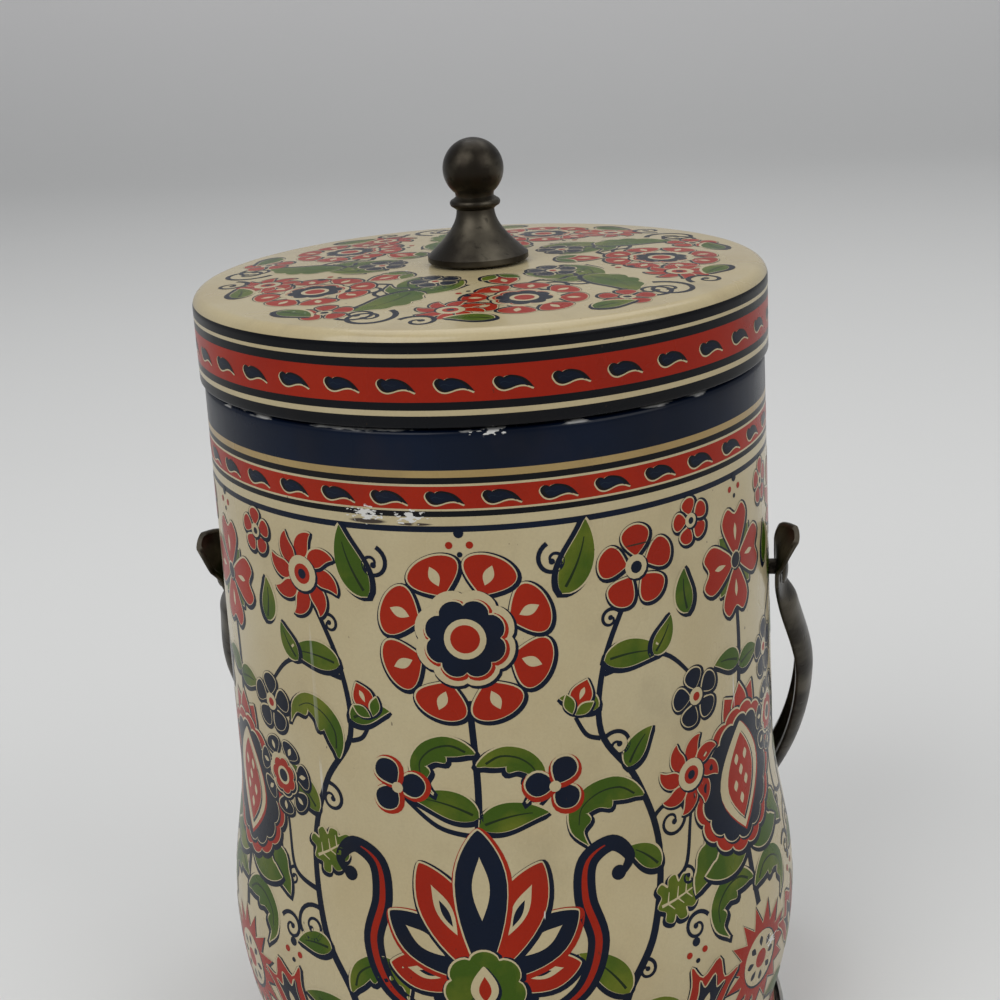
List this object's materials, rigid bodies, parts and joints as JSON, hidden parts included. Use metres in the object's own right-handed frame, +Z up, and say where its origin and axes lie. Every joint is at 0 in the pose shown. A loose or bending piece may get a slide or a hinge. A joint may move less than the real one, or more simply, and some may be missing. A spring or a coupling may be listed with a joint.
{
  "type": "biscuit tin",
  "caption": "Round printed tin with a rolled rim, a bellied lower wall, a flared foot, a swinging strap handle and a lift-off plug lid with a turned knob.",
  "frame": {"origin": "on the tin's axis, at the level of the rim it stands on", "axes": "+Z up along the tin's axis, -Y the front, the handle's rivets along X and the handle hanging at +Y"},
  "size_m": [0.1062, 0.1032, 0.1587],
  "materials": {
    "printed_tinplate": "gloss print, navy, red and green on cream",
    "bright_tinplate": "dull bright tin",
    "black_lacquer": "satin",
    "gunmetal": "dark satin, worn bright on its ridges",
    "plated_steel": "dull plate"
  },
  "bodies": {
    "body": {"body_wall": "printed_tinplate", "base_panel": "bright_tinplate", "right_rivet": "gunmetal", "left_rivet": "gunmetal", "right_rivet_burr": "gunmetal", "left_rivet_burr": "gunmetal"},
    "handle": {"handle_strap": "gunmetal"},
    "lid": {"lid_shell": "printed_tinplate", "lid_collar": "black_lacquer", "lid_knob": "gunmetal", "knob_screw": "plated_steel", "knob_washer": "plated_steel"}
  },
  "joints": [
    {"name": "handle_swing", "type": "hinge", "parent": "body", "child": "handle", "pos_m": [0, 0, 0.087], "axis": [1, 0, 0], "range_deg": [0, 297]},
    {"name": "lid_lift", "type": "slide", "parent": "body", "child": "lid", "axis": [0, 0, 1], "range_m": [0, 0.06]}
  ]
}
